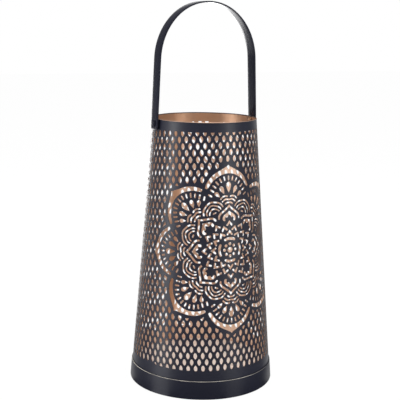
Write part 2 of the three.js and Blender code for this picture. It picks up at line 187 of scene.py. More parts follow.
# The rosette in the blank's front.
# A common eight-petalled ornament, cut through the same sheet. From the middle out it has an eye and
# beads, a collar, three rings of small roofs, a ring of lotus leaves with hearts, scallops between them,
# and eight round petals with tears, bars and a pointed crescent. One petal is drawn, pointing up.
eye_radius = 2.9
bead_radius = 1.7
bead_distance = 6.4
collar_radius = 12.1
collar_width = 2.8
collar_half_angle = 0.46
roof_tips = (19.6, 24.9, 29.6)
roof_leg = (2.6, 3.2)
roof_line = 2.2
roof_count = 12
lotus_line = 2.1
base_line = 1.7
scallop_line = 1.7
inner_arch_line = 1.45
bar_middle = 57.5
bar_side_count = 6
bar_distance = 18.3
bar_length = 5.4
bar_width = 1.85
bar_angle = math.radians(14.7)
last_bar_turn = math.radians(29)
last_bar_shift = 2.1


def smooth(points, steps=4):
    """A curve through the points: on each stretch a cubic whose slope at a point is half the step
    between its two neighbours."""
    p = np.asarray(points, complex)
    p = np.concatenate([[2 * p[0] - p[1]], p, [2 * p[-1] - p[-2]]])
    a, b, c, d = (p[i : len(p) - 3 + i, None] for i in range(4))
    t = np.arange(steps) / steps
    curve = b + (c - a) / 2 * t + (2 * a - 5 * b + 4 * c - d) / 2 * t**2 + (3 * b - a - 3 * c + d) / 2 * t**3
    return np.concatenate([curve.ravel(), p[-2:-1]])


def mirrored(points):
    """The same outline on the other side of the petal's axis, still run anticlockwise."""
    return -np.conj(np.asarray(points, complex)[::-1])


def both_sides(half, steps=4):
    """A line symmetrical about the petal's axis, from the left end over the axis to the right end.
    The half is given from the axis outwards."""
    right = smooth(half, steps)
    return np.concatenate([mirrored(right), right[1:]])


def band(line, width, cap_steps=3):
    """A line given a width, with round ends. Each point moves square to the line by half the width,
    and at a corner by half the width over the cosine of half the turn."""
    way = np.diff(line)
    way /= np.abs(way)
    sum_of_ways = np.concatenate([way[:1], way]) + np.concatenate([way, way[-1:]])
    shift = 1j * sum_of_ways / np.abs(sum_of_ways) ** 2 * width
    turn = np.exp(1j * math.pi * np.arange(1, cap_steps) / cap_steps)
    far_cap = line[-1] - 1j * way[-1] * width / 2 * turn
    near_cap = line[0] + 1j * way[0] * width / 2 * turn
    return np.concatenate([line - shift, far_cap, (line + shift)[::-1], near_cap])


def closed(half, steps=3):
    """A closed outline, symmetrical about the petal's axis, with a sharp corner at its first point.
    The half runs from that point down the right side to the axis again."""
    half = np.asarray(half, complex)
    return smooth(np.concatenate([half, mirrored(half)[1:]]), steps)[:-1][::-1]


def disc(middle, radius, sides):
    """A circle of equal sides."""
    return middle + radius * np.exp(2j * math.pi * np.arange(sides) / sides)


def tear(inner, outer, width, steps=8):
    """A drop. Its half width along the way t from the inner to the outer end is sin(pi t^1.7)^0.6."""
    t = 0.5 - 0.5 * np.cos(np.linspace(0, math.pi, steps + 1))
    spine = inner + (outer - inner) * t
    half = width / 2 * np.sin(math.pi * np.minimum(t, 1) ** 1.7).clip(0) ** 0.6
    side = 1j * (outer - inner) / abs(outer - inner)
    return np.concatenate([spine - side * half, (spine + side * half)[-2:0:-1]])


def arc(middle, radius, half_angle, steps):
    """A line along a circle, symmetrical about the petal's axis."""
    return middle + radius * 1j * np.exp(1j * np.linspace(half_angle, -half_angle, steps + 1))


def petal_openings():
    """Crescent, bars, tears and base lines of one petal, and the lotus leaf and heart under it."""
    crescent = closed([
        89.7j, 1.9 + 87.9j, 4.2 + 86.7j, 10.3 + 83.6j, 16.8 + 79.6j, 22.2 + 73.9j, 25.6 + 67.3j,
        25.1 + 65.7j, 23.5 + 65.3j, 21.9 + 66.9j, 19.3 + 70.8j, 15.6 + 74.5j, 11.2 + 77.5j, 6 + 79.7j, 80.6j,
    ])
    places = np.arange(-bar_side_count, bar_side_count + 1) / bar_side_count
    middle = 1j * bar_middle
    outwards = 1j * np.exp(-1j * bar_side_count * bar_angle * places)
    distances = bar_distance + last_bar_shift * places**6
    turned = outwards * np.exp(1j * last_bar_turn * places**3)
    half_way = np.array([-1, 1]) * (bar_length - bar_width) / 2
    bars = [
        band(middle + place * far + way * half_way, bar_width)
        for place, far, way in zip(outwards, distances, turned)
    ]
    side_tears = [tear(5.1 + 59.0j, 9.4 + 67.4j, 4.9), tear(9.9 + 55.9j, 15.3 + 61.2j, 4.3)]
    tears = [tear(60.1j, 72j, 6.1), *side_tears, *(mirrored(one) for one in side_tears)]
    split = band(smooth([1.9 + 56.6j, 4.2 + 57j, 6.8 + 56.3j, 9.3 + 54.0j], 3), base_line)
    lines = [
        split, mirrored(split),
        band(both_sides([53.2j, 2.3 + 53.6j, 4.6 + 53.4j, 7.4 + 51.2j], 3), base_line),
        band(both_sides([50.2j, 2.2 + 50j, 4.1 + 48.9j], 3), base_line),
    ]
    lotus = band(both_sides([
        46.7j, 2.2 + 44.5j, 5.4 + 41.9j, 8.7 + 39.5j, 10.6 + 37.8j, 11.6 + 35.8j, 11.6 + 33.4j,
    ], 2), lotus_line)
    heart = closed([
        41.4j, 2.5 + 39.5j, 5.2 + 37.7j, 6.9 + 36.1j, 7.8 + 34.2j, 7.6 + 32.2j, 6.6 + 30.9j, 5.3 + 30.7j,
        4.5 + 31.5j, 4.8 + 32.9j, 4.9 + 34.2j, 4.1 + 34.9j, 3.3 + 34.4j, 2.4 + 34.5j, 1.6 + 35.2j,
        1.1 + 36.3j, 37.3j,
    ], 2)
    return [crescent, *bars, *tears, *lines, lotus, heart]


def scallop_openings():
    """Three nested arches and a pip, drawn on their own upright axis."""
    outer = [54.8j, 2.1 + 54.5j, 4.5 + 53.4j, 7 + 52.1j, 9.1 + 50.3j, 10.4 + 48j, 11.1 + 45.4j]
    middle = [51.4j, 1.9 + 51j, 3.7 + 49.8j, 5.5 + 48.4j, 7.1 + 46.9j, 8 + 45.2j, 8.1 + 43.8j]
    inner = [47.5j, 1.8 + 47j, 3.4 + 45.9j, 4.7 + 44.6j, 5.5 + 43.1j]
    pip = np.array([-1.2 + 42.7j, 1.2 + 42.7j])
    return [
        band(both_sides(outer, 3), scallop_line), band(both_sides(middle, 3), inner_arch_line),
        band(both_sides(inner, 3), inner_arch_line), band(pip, scallop_line),
    ]


def around(shapes, count, first=0.0):
    """The shapes turned about the rosette's middle, count times."""
    turns = np.exp(-1j * (first + 2 * math.pi * np.arange(count) / count))
    return [shape * turn for turn in turns for shape in shapes]


def rosette_openings():
    """Every opening of the rosette, from the eye outwards, set on the blank."""
    leg, drop = roof_leg
    half_step = math.pi / roof_count
    roofs = [
        band(np.array([-leg - 1j * drop, 0, leg - 1j * drop]) + 1j * tip, roof_line)
        for tip in roof_tips
    ]
    shapes = [
        disc(0, eye_radius, 20),
        *around([disc(1j * bead_distance, bead_radius, 12)], petal_count),
        *around([band(arc(0, collar_radius, collar_half_angle, 8), collar_width)], 4),
        *around(roofs[0::2], roof_count), *around(roofs[1::2], roof_count, half_step),
        *around(petal_openings(), petal_count),
        *around(scallop_openings(), petal_count, math.pi / petal_count),
    ]
    return [rosette_middle + shape * rosette_turn for shape in shapes]


# The rolled body.
# The blank is rolled to a cone, its start tucked 6 mm under its end at the back and spot-welded there,
# and its rim is folded out into a narrow hem. It is painted blue-black outside and copper inside.
rim_columns = 264
seam_rows = 90
margin_columns = 150
margin_heights = (5.0, 10.0, 15.0, 20.0, 25.0, 29.0, 285.5, 288.0, 290.5)
lap_rows = 60
lap_columns = (1.5, 3.0, 4.5, 6.0, 6.6, 7.2, 7.8)
end_columns = (0.0, 1.5, 3.0, 4.5)
lap_gap = 0.05
hem_height = 1.6
hem_steps = (
    (1.5, 0.2), (1.25, 0.35), (0.85, 0.35), (0.55, 0.33), (0.18, 0.2), (0.0, -0.05),
    (0.0, -0.45), (0.12, -0.62), (0.35, -0.7), (0.9, -0.7),
)
hem_bright_from, hem_bright_to = 4, 6
pivot_height = frame["joints"][0]["pos_m"][2] / mm
tenon_hole = 2.0
blue_black = ((0.0105, 0.0110, 0.0185), (0.0085, 0.0098, 0.0225))
paint_worn = (0.13, 0.125, 0.12)
copper = (0.92, 0.73, 0.60)
copper_deep = (0.76, 0.56, 0.43)
# The darker copper is painted shade over the inside of the rim's band and on the rivets' closed ends and
# washers, and a darker tone over the lap.
dark_copper_and_shade = (0.50, 0.30, 0.19)
rim_shade_from, rim_shade_to = 262.0, 282.0
lap_dark_from, lap_dark_to = 1.0, 3.5


def cut_sheet(outline, openings, loose):
    """Triangles that fill an outline around its openings, by constrained Delaunay triangulation.
    Gives all the points, the triangles and the first outline's own point numbers."""
    outlines = [outline, *openings]
    points = np.concatenate([*outlines, loose])
    starts = np.cumsum([0] + [len(one) for one in outlines])
    loops = [list(range(first, last)) for first, last in zip(starts[:-1], starts[1:])]
    flat = [Vector(pair) for pair in np.column_stack([points.real, points.imag]).tolist()]
    made = delaunay_2d_cdt(flat, [], loops, 1, 1e-6)
    made_points = np.array(made[0]) @ np.array([1, 1j])
    kept = [face for face, owners in zip(made[2], made[5]) if list(owners) == [0]]
    number = np.full(len(points), -1)
    for new, sources in enumerate(made[3]):
        number[list(sources)] = new
    return made_points, np.array(kept), number[: len(outline)]


def open_edges(triangles):
    """The edges that only one triangle uses, each in that triangle's own direction."""
    edges = np.concatenate([triangles[:, [0, 1]], triangles[:, [1, 2]], triangles[:, [2, 0]]])
    size = int(edges.max()) + 1
    name = edges[:, 0] * size + edges[:, 1]
    twin = edges[:, 1] * size + edges[:, 0]
    return edges[~np.isin(name, twin)]


def past_edge(points, edge):
    """How far each place lies past the line on the blank at an edge's angle."""
    return ((points - cone_tip) * np.exp(-1j * (edge - math.pi / 2))).imag


def tucked(points):
    """How far each place is tucked under the sheet's other end, from 0 to 1: fully over the lap,
    and easing off over the joggle beside it."""
    share = np.clip((past_edge(points, seam_start) - lap_width) / joggle_width, 0, 1)
    return 1 - share * share * (3 - 2 * share)


def rolled(points, raised):
    """Rolls the blank round the axis. The distance from the cone's tip gives radius and height, and the
    angle there over the sine of the lean gives the turn. Raised is along the outward normal."""
    arm = points - cone_tip
    slant = np.abs(arm)
    turn = np.arctan2(arm.real, -arm.imag) / math.sin(lean)
    raised = raised - tucked(points) * (sheet_thickness + lap_gap)
    radius = slant * math.sin(lean) + raised * math.cos(lean)
    z = body_height - (slant - slant_at(body_height)) * math.cos(lean) + raised * math.sin(lean)
    return np.column_stack([radius * np.sin(turn), -radius * np.cos(turn), z]) * mm


def cone_normals(places):
    """The cone's outward normal beside each place: level and outwards, tipped up by the lean."""
    level = places[:, :2] / np.linalg.norm(places[:, :2], axis=1)[:, None]
    return np.column_stack([level * math.cos(lean), np.full(len(places), math.sin(lean))])


def rim_shade_and_lap_darkening(points):
    """How far the copper is darkened at each place, from 0 to 1: over the rim's plain band this is painted
    shade, and over the lap it is a darker tone."""
    height = body_height - (np.abs(points - cone_tip) - slant_at(body_height)) * math.cos(lean)
    rim = np.clip((height - rim_shade_from) / (rim_shade_to - rim_shade_from), 0, 1)
    from_lap = np.minimum(past_edge(points, seam_start) - lap_width, np.abs(past_edge(points, seam_end)))
    lap = np.clip(1 - (from_lap - lap_dark_from) / (lap_dark_to - lap_dark_from), 0, 1)
    return np.maximum(rim, lap)


def make_piece(name, places, faces, materials, face_material=None, corner_normals=None):
    """A mesh object from places in metres and faces, shaded smooth, with its materials in order."""
    mesh = bpy.data.meshes.new(name)
    mesh.from_pydata(np.asarray(places).tolist(), [], [list(face) for face in faces])
    for material in materials:
        mesh.materials.append(material)
    if face_material is not None:
        mesh.polygons.foreach_set("material_index", np.asarray(face_material, np.int32))
    mesh.polygons.foreach_set("use_smooth", np.ones(len(mesh.polygons), bool))
    mesh.update()
    if corner_normals is not None:
        mesh.normals_split_custom_set(corner_normals.tolist())
    piece = bpy.data.objects.new(name, mesh)
    bpy.context.scene.collection.objects.link(piece)
    return piece


def add_attribute(piece, name, values):
    """Stores a value for each point of a piece, for its material."""
    attribute = piece.data.attributes.new(name, "FLOAT", "POINT")
    attribute.data.foreach_set("value", np.asarray(values, np.float32))


def blank_angles(slant, share):
    """The angles at shares of the way from the sheet's start to its end, which carries the lap."""
    return seam_start + share * (seam_end + lap_width / slant - seam_start)


def blank_outline():
    """The blank's four edges, anticlockwise: foot, end of the sheet, rim, start of the sheet.
    Gives them with the rim's first point and its count."""
    low, high = slant_at(body_height - hem_height), slant_at(sheet_foot)
    share = np.linspace(0, 1, rim_columns + 1)
    slants = np.linspace(high, low, seam_rows)
    foot = on_blank(high, blank_angles(high, share))
    rim = on_blank(low, blank_angles(low, share))[::-1]
    end = on_blank(slants, seam_end + lap_width / slants)[1:-1]
    start = on_blank(slants[::-1], seam_start)[1:-1]
    return np.concatenate([foot, end, rim, start]), len(foot) + len(end), len(rim)


def loose_points():
    """Points in the plain margins, so that the sheet bends evenly there: rows round the rim and the
    foot, and columns along the lap."""
    share = (np.arange(margin_columns) + 0.5) / margin_columns
    slants = slant_at(np.array(margin_heights))[:, None]
    rows = on_blank(slants, blank_angles(slants, share))
    along = np.linspace(slant_at(holes_top), slant_at(holes_bottom), lap_rows)[:, None]
    lap = on_blank(along, seam_start + np.array(lap_columns) / along)
    end = on_blank(along, seam_end + np.array(end_columns) / along)
    return np.concatenate([rows.ravel(), lap.ravel(), end.ravel()])


def rolled_body(materials):
    """The blank rolled up: an outer skin, an inner skin, the cut edges between them and the hem."""
    outline, rim_start, rim_count = blank_outline()
    pivots = [
        disc(on_blank(slant_at(pivot_height), side * math.pi / 2 * math.sin(lean)), tenon_hole, 20)
        for side in (-1, 1)
    ]
    points, skin, own = cut_sheet(outline, [*pivots, *rosette_openings(), *lace_holes()], loose_points())
    count = len(points)
    rim = own[rim_start : rim_start + rim_count]
    rim_arms = points[rim] - cone_tip
    hem = []
    for below, proud in hem_steps:
        slant = slant_at(body_height - below)
        places = cone_tip + rim_arms / np.abs(rim_arms) * slant
        hem.append(rolled(places, proud * np.where(proud > 0, 1 - tucked(places), 1)))
    outside = rolled(points, 0.0)
    inside = rolled(points, -sheet_thickness)
    places = np.concatenate([outside, inside, *hem])

    cut = open_edges(skin)
    on_rim = np.isin(cut, rim).all(axis=1)
    plain = cut[~on_rim]
    walls = np.column_stack([plain[:, 1], plain[:, 0], plain[:, 0] + count, plain[:, 1] + count])
    ladder = np.stack([rim, *(2 * count + step * rim_count + np.arange(rim_count)
                              for step in range(len(hem_steps))), rim + count])
    upper, lower = ladder[:-1], ladder[1:]
    hem_faces = np.stack([upper[:, 1:], upper[:, :-1], lower[:, :-1], lower[:, 1:]], axis=-1).reshape(-1, 4)
    hem_ends = [ladder[::-1, 0].tolist(), ladder[:, -1].tolist()]
    inner_skin = skin[:, ::-1] + count
    faces = [*skin.tolist(), *inner_skin.tolist(), *walls.tolist(), *hem_faces.tolist(), *hem_ends]

    counts = (len(skin), len(inner_skin), len(walls))
    rows = np.arange(len(ladder) - 1)
    bright = (rows >= hem_bright_from) & (rows <= hem_bright_to)
    hem_rows = np.repeat(np.where(bright, 3, np.where(rows == rows[-1], 1, 0)), rim_count - 1)
    face_material = np.concatenate([np.repeat((0, 1, 2), counts), hem_rows, [0, 0]])

    outward = cone_normals(outside)
    wall_ways = np.cross(places[walls[:, 1]] - places[walls[:, 0]], places[walls[:, 3]] - places[walls[:, 0]])
    wall_ways /= np.maximum(np.linalg.norm(wall_ways, axis=1), 1e-12)[:, None]
    ladder_places = places[ladder]
    along = np.gradient(ladder_places, axis=1)
    down = np.gradient(ladder_places, axis=0)
    hem_normals = np.cross(down, along)
    hem_normals /= np.linalg.norm(hem_normals, axis=2)[:, :, None]
    hem_normals[0] = outward[rim]
    hem_normals[-1] = -outward[rim]
    a, b = hem_normals[:-1], hem_normals[1:]
    hem_corners = np.stack([a[:, 1:], a[:, :-1], b[:, :-1], b[:, 1:]], axis=2).reshape(-1, 3)
    end_ways = np.array([[-1.0, 0.0, 0.0], [1.0, 0.0, 0.0]])
    corner_normals = np.concatenate([
        outward[skin.ravel()], -outward[skin[:, ::-1].ravel()], np.repeat(wall_ways, 4, axis=0),
        hem_corners, np.repeat(end_ways, len(ladder), axis=0),
    ])
    piece = make_piece("pierced_body", places, faces, materials, face_material, corner_normals)
    flat = rim_shade_and_lap_darkening(points)
    add_attribute(piece, "darkening_and_shade", np.concatenate([flat, flat, np.ones(len(places) - 2 * count)]))
    return piece


def effect_group(name, inputs, outputs):
    """An empty shader node group with named inputs and outputs, and its two end nodes."""
    group = bpy.data.node_groups.new(name, "ShaderNodeTree")
    for label, kind, value in inputs:
        group.interface.new_socket(name=label, in_out="INPUT", socket_type=kind).default_value = value
    for label, kind in outputs:
        group.interface.new_socket(name=label, in_out="OUTPUT", socket_type=kind)
    return group, group.nodes.new("NodeGroupInput"), group.nodes.new("NodeGroupOutput")


def node(tree, kind, links=(), **values):
    """A shader node with its settings, and its inputs linked from sockets or set to values."""
    made = tree.nodes.new("ShaderNode" + kind)
    for key, value in values.items():
        setattr(made, key, value)
    for name, source in dict(links).items():
        if isinstance(source, bpy.types.NodeSocket):
            tree.links.new(source, made.inputs[name])
        else:
            made.inputs[name].default_value = source
    return made


def ramp(tree, value, start, end, low=0.0, high=1.0, **settings):
    """A value carried over from one range to another, and held at the ends of both."""
    links = {"Value": value, "From Min": start, "From Max": end, "To Min": low, "To Max": high}
    return node(tree, "MapRange", links, **settings).outputs["Result"]


def maths(tree, operation, *values, **settings):
    """One step of arithmetic on plain values or sockets."""
    return node(tree, "Math", dict(enumerate(values)), operation=operation, **settings).outputs[0]


def paint_grain_group():
    """Sprayed paint: a fine orange peel, soft clouds of thicker and thinner film, and specks of dust.
    Gives a cloud value for the colour, a roughness and a height."""
    group, start, end = effect_group(
        "paint_grain",
        [("Peel Scale", "NodeSocketFloat", 900.0), ("Roughness", "NodeSocketFloat", 0.4),
         ("Variation", "NodeSocketFloat", 0.12)],
        [("Cloud", "NodeSocketFloat"), ("Roughness", "NodeSocketFloat"), ("Height", "NodeSocketFloat")],
    )
    place = node(group, "TexCoord").outputs["Object"]
    peel = node(group, "TexNoise", {"Vector": place, "Scale": start.outputs["Peel Scale"],
                                    "Detail": 3.0, "Roughness": 0.55})
    clouds = node(group, "TexNoise", {"Vector": place, "Scale": 34.0, "Detail": 5.0, "Roughness": 0.6})
    dust = node(group, "TexVoronoi", {"Vector": place, "Scale": 420.0, "Randomness": 1.0})
    speck = ramp(group, dust.outputs["Distance"], 0.05, 0.16, 1.0, 0.0)
    spread = maths(group, "ADD", clouds.outputs["Fac"], -0.5)
    swing = maths(group, "MULTIPLY", spread, start.outputs["Variation"])
    rough = maths(group, "ADD", swing, start.outputs["Roughness"], use_clamp=True)
    height = maths(group, "MULTIPLY_ADD", speck, 0.35, peel.outputs["Fac"])
    for label, source in (("Cloud", clouds.outputs["Fac"]), ("Roughness", rough), ("Height", height)):
        group.links.new(source, end.inputs[label])
    return group


paint_grain = paint_grain_group()


def blend(tree, factor, a, b):
    """The colour between two colours, plain ones or sockets, that a factor picks."""
    colours = [one if isinstance(one, bpy.types.NodeSocket) else (*one, 1.0) for one in (a, b)]
    links = {"Factor": factor, "A": colours[0], "B": colours[1]}
    return node(tree, "Mix", links, data_type="RGBA").outputs["Result"]


def new_material(name):
    """A material with its Principled shader, ready for colours."""
    made = bpy.data.materials.new(name)
    made.use_nodes = True
    return made, made.node_tree, made.node_tree.nodes["Principled BSDF"]


def grain_in(tree, group, **values):
    """Places an effect group in a material with its own values."""
    made = tree.nodes.new("ShaderNodeGroup")
    made.node_tree = group
    for name, value in values.items():
        made.inputs[name.replace("_", " ")].default_value = value
    return made


def join_paint(tree, shader, colour, grain, strength, distance):
    """Leads a colour and a paint's grain to the shader: its roughness, and its height as a bump."""
    bump = node(tree, "Bump", {"Height": grain.outputs["Height"], "Strength": strength, "Distance": distance})
    tree.links.new(colour, shader.inputs["Base Color"])
    tree.links.new(grain.outputs["Roughness"], shader.inputs["Roughness"])
    tree.links.new(bump.outputs["Normal"], shader.inputs["Normal"])


def black_paint(name, film, roughness=0.38, specular=0.35, wear_and_sheen_share=0.0, bare_and_sheen_colour=paint_worn):
    """Satin blue-black paint over steel. The film is a little bluer where it is thick, and where the piece's
    own attribute says so it turns to a lighter colour: rubbed through to grey on the strap's edges, and on
    the hoop's top lip a worn raw edge with a painted highlight, brightest at the front left."""
    material, tree, shader = new_material(name)
    grain = grain_in(tree, paint_grain, Peel_Scale=1100.0, Roughness=roughness, Variation=0.14)
    colour = blend(tree, grain.outputs["Cloud"], *film)
    if wear_and_sheen_share > 0:
        edge = node(tree, "Attribute", attribute_name="wear_and_sheen")
        patch = maths(tree, "MULTIPLY", edge.outputs["Fac"], grain.outputs["Cloud"])
        colour = blend(tree, ramp(tree, patch, 0.3, 0.62, 0.0, wear_and_sheen_share), colour, bare_and_sheen_colour)
    join_paint(tree, shader, colour, grain, 0.25, 0.00004)
    shader.inputs["Specular IOR Level"].default_value = specular
    return material


def copper_paint(name, light, deep, roughness=0.33, metallic=0.9, darkening_and_shade=None):
    """Copper-coloured metallic paint: fine flakes, and streaks drawn out round the sheet as it was wiped
    down, a little deeper in tone where the film is thin, and darkened where the piece's own attribute says
    so, which is painted shade over the body's rim band and a darker tone over its lap."""
    material, tree, shader = new_material(name)
    grain = grain_in(tree, paint_grain, Peel_Scale=1500.0, Roughness=roughness, Variation=0.2)
    place = node(tree, "TexCoord").outputs["Object"]
    drawn = node(tree, "Mapping", {"Vector": place, "Scale": (18.0, 18.0, 260.0)})
    streaks = node(tree, "TexNoise", {"Vector": drawn.outputs[0], "Scale": 1.0, "Detail": 4.0})
    both = node(tree, "Mix", {"Factor": 0.5, "A": grain.outputs["Cloud"], "B": streaks.outputs["Fac"]})
    film = blend(tree, ramp(tree, both.outputs["Result"], 0.32, 0.62), deep, light)
    if darkening_and_shade is not None:
        # Darkening from the piece's attribute: painted shade over the rim's band, a darker tone over the lap.
        darkening_and_shade_node = node(tree, "Attribute", attribute_name="darkening_and_shade")
        patchy = maths(tree, "MULTIPLY_ADD", streaks.outputs["Fac"], 0.5, darkening_and_shade_node.outputs["Fac"])
        film = blend(tree, ramp(tree, patchy, 0.3, 1.1, 0.0, 0.85), film, darkening_and_shade)
    join_paint(tree, shader, film, grain, 0.3, 0.00003)
    shader.inputs["Metallic"].default_value = metallic
    return material


body_black = black_paint("body_paint_black", blue_black)
body_copper = copper_paint("body_paint_copper", copper, copper_deep, darkening_and_shade=dark_copper_and_shade)
cut_edge = copper_paint("cut_edge_paint", (0.16, 0.09, 0.055), (0.05, 0.03, 0.022), 0.4, 0.5)
rim_edge = copper_paint("rim_edge_paint", (0.46, 0.31, 0.23), (0.34, 0.22, 0.16), 0.45, 0.85)
pierced_body = rolled_body([body_black, body_copper, cut_edge, rim_edge])
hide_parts("perforated_shell")
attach(pierced_body, "body")


# The base hoop.
# A 20 mm band of the same steel, rolled to hug the sheet's foot and spot-welded on. Its lower edge is turned
# in to carry the sheet and the floor, and its raw top edge shows as a thin light line, painted lighter
# towards the front left as a highlight.
hoop_clearance = 0.35
hoop_thickness = 0.7
hoop_foot_width = 4.5
hoop_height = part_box("base_hoop")[1].z / mm
hoop_segments = 288
hoop_lip = 0.34
# The top lip's light colour is a worn raw edge, and its swing round the hoop paints a highlight, brightest at
# the front left.
hoop_lip_mean, hoop_lip_highlight_swing = 0.75, 0.35
hoop_lip_highlight_turn = math.radians(115)
hoop_paint = ((0.0062, 0.0068, 0.0150), (0.0052, 0.0064, 0.0180))


def rounded(corners, radii, steps=4):
    """A closed profile with its corners rounded: each corner becomes a curve between the two points
    that lie one radius from it, bent towards the corner."""
    corners = np.asarray(corners, complex)
    before, after = np.roll(corners, 1), np.roll(corners, -1)
    t = np.linspace(0, 1, steps + 1)
    made = []
    for corner, a, b, radius in zip(corners, before, after, radii):
        near = corner + (a - corner) / abs(a - corner) * radius
        far = corner + (b - corner) / abs(b - corner) * radius
        made.append(near * (1 - t) ** 2 + corner * 2 * t * (1 - t) + far * t**2)
    return np.concatenate(made)


def turned(name, places, materials, face_material=None):
    """A closed profile turned round an axis, from its places at each turn, in millimetres."""
    segments, size = places.shape[:2]
    column, row = np.meshgrid(np.arange(segments), np.arange(size), indexing="ij")
    here, after, up = column * size, (column + 1) % segments * size, (row + 1) % size
    faces = np.stack([here + row, after + row, after + up, here + up], axis=-1).reshape(-1, 4)
    picked = None if face_material is None else np.tile(face_material, segments)
    return make_piece(name, places.reshape(-1, 3) * mm, faces.tolist(), materials, picked)


def turned_ring(name, profile, segments, materials, face_material=None):
    """A closed profile of radius and height turned once round the lantern's axis."""
    turn = 2 * math.pi * np.arange(segments)[:, None] / segments
    radius, height = profile.real, profile.imag + 0 * turn
    places = np.stack([radius * np.sin(turn), -radius * np.cos(turn), height], axis=-1)
    return turned(name, places, materials, face_material)


def hoop_inside(z):
    """The hoop's inner face at a height, as a point of radius and height."""
    return wall_radius(z) + hoop_clearance + 1j * z


def hoop_profile():
    """The hoop's L-shaped section, anticlockwise from the inner end of its foot."""
    foot = hoop_inside(0) + hoop_thickness
    top = hoop_inside(hoop_height)
    corners = [
        foot - hoop_foot_width, foot, top + hoop_thickness, top,
        hoop_inside(hoop_thickness), foot - hoop_foot_width + 1j * hoop_thickness,
    ]
    return rounded(corners, (0.2, 1.2, 0.45, 0.2, 0.5, 0.2), 5)


def lip_faces(profile):
    """1 on the strips of the profile that make the rounded top corner on the outside, else 0."""
    middles = (profile + np.roll(profile, -1)) / 2
    return (np.abs(middles - hoop_inside(hoop_height) - hoop_thickness) < hoop_lip).astype(int)


hoop_black = black_paint("hoop_paint_black", hoop_paint, roughness=0.4)
# The lip's light colour: worn raw edge plus a painted highlight.
hoop_edge = black_paint("hoop_edge_worn_and_highlight", hoop_paint, roughness=0.3, wear_and_sheen_share=1.0, bare_and_sheen_colour=(0.60, 0.56, 0.48))
hoop_section = hoop_profile()
hoop_materials = [hoop_black, hoop_edge]
base_hoop = turned_ring("foot_hoop", hoop_section, hoop_segments, hoop_materials, lip_faces(hoop_section))
hoop_turn = 2 * math.pi * np.arange(hoop_segments) / hoop_segments
lip_wear_and_highlight = hoop_lip_mean - hoop_lip_highlight_swing * np.cos(hoop_turn - hoop_lip_highlight_turn)
add_attribute(base_hoop, "wear_and_sheen", np.repeat(lip_wear_and_highlight, len(hoop_section)))
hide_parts("base_hoop")
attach(base_hoop, "body")


# The floor.
# A shallow pan pressed from 0.7 mm sheet, set upside down on the hoop's foot, so that the candle stands
# 15 mm above the table. It has the same metallic paint as the inside, in a paler tone.
floor_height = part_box("floor_plate")[1].z / mm
floor_thickness = 0.7
floor_clearance = 0.5
floor_middle = 0.02
floor_segments = 192


def floor_edge(z):
    """The outer face of the pan's skirt at a height, as a point of radius and height."""
    return wall_radius(z) - sheet_thickness / math.cos(lean) - floor_clearance + 1j * z


def floor_profile():
    """The pan's section from the middle of its underside round its skirt to the middle of its top."""
    underside = floor_height - floor_thickness
    corners = [
        1j * underside, floor_edge(underside) - floor_thickness, floor_edge(sheet_foot) - floor_thickness,
        floor_edge(sheet_foot), floor_edge(floor_height), 1j * floor_height,
    ]
    return rounded(corners, (0.01, 1.0, 0.2, 0.2, 1.8, 0.01), 6) + floor_middle


floor_pale = copper_paint("floor_paint", (0.98, 0.92, 0.87), (0.91, 0.83, 0.77), 0.45, 0.25)
floor_pan = turned_ring("floor_pan", floor_profile(), floor_segments, [floor_pale])
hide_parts("floor_plate")
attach(floor_pan, "body")


# The strap handle.
# One 16.5 by 1.6 mm flat bar with its edges eased, drilled near both ends and bent over a form into
# straight leaning legs and a tall round arch. It is painted with the body's outside.
strap_low, strap_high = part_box("handle_strap")
strap_width = (strap_high.y - strap_low.y) / mm
strap_thickness = 1.6
strap_crown = strap_high.z / mm - strap_thickness / 2
strap_foot = strap_low.z / mm
strap_shoulder = 357.0
strap_lean = 0.042
strap_half_span = 58.95
strap_arch_power = 2.06
strap_bore = 2.8
strap_paint = ((0.0090, 0.0095, 0.0155), (0.0075, 0.0085, 0.0185))
strap_steps = ((0.45, 0.0), (0.2, 0.07), (0.07, 0.2), (0.0, 0.45))
strap_edge = 0.3
leg_points, arch_points = 40, 400
bar_corner = 1.2
bar_end, bar_end_gap = 60, 4
end_points, middle_points = 12, 110
bore_sides = 28
inner_row = 2.4
inner_row_clear = 4.2


def leg_span(z):
    """Half the distance between the legs' middle lines at a height."""
    return strap_half_span - strap_lean * (z - pivot_height)


def strap_line():
    """The strap's middle line, from the left end over the arch to the right end, as x + z i: straight
    legs, then a superellipse, x^n + z^n = 1, narrowed by the same lean as the legs."""
    leg = np.linspace(strap_foot, strap_shoulder, leg_points)[:-1]
    angle = np.linspace(0, math.pi / 2, arch_points)
    z = strap_shoulder + (strap_crown - strap_shoulder) * np.sin(angle) ** (2 / strap_arch_power)
    x = leg_span(z) * np.cos(angle) ** (2 / strap_arch_power)
    half = np.concatenate([-leg_span(leg) + 1j * leg, -x + 1j * z])
    half[-1] = 1j * strap_crown
    return np.concatenate([half, -np.conj(half[-2::-1])])


strap_path = strap_line()
strap_travel = np.concatenate([[0], np.cumsum(np.abs(np.diff(strap_path)))])
strap_length = strap_travel[-1]
strap_way = np.gradient(strap_path, strap_travel)
strap_way /= np.abs(strap_way)
middle_from = bar_end + bar_end_gap
bar_columns = np.concatenate([
    np.linspace(bar_corner, bar_end, end_points),
    np.linspace(middle_from, strap_length - middle_from, middle_points),
    np.linspace(strap_length - bar_end, strap_length - bar_corner, end_points),
])
to_pivot = (pivot_height - strap_foot) * math.hypot(1, strap_lean)
bore_places = np.array([to_pivot, strap_length - to_pivot])


def bent(points, raised):
    """Bends the flat bar: the distance along it picks the place and the direction on the middle line,
    the distance across is y, and raised is square to the bar, outwards."""
    along = points.real
    place = np.interp(along, strap_travel, strap_path)
    way = np.interp(along, strap_travel, strap_way)
    place += 1j * way / np.abs(way) * raised
    return np.column_stack([place.real, points.imag, place.imag]) * mm


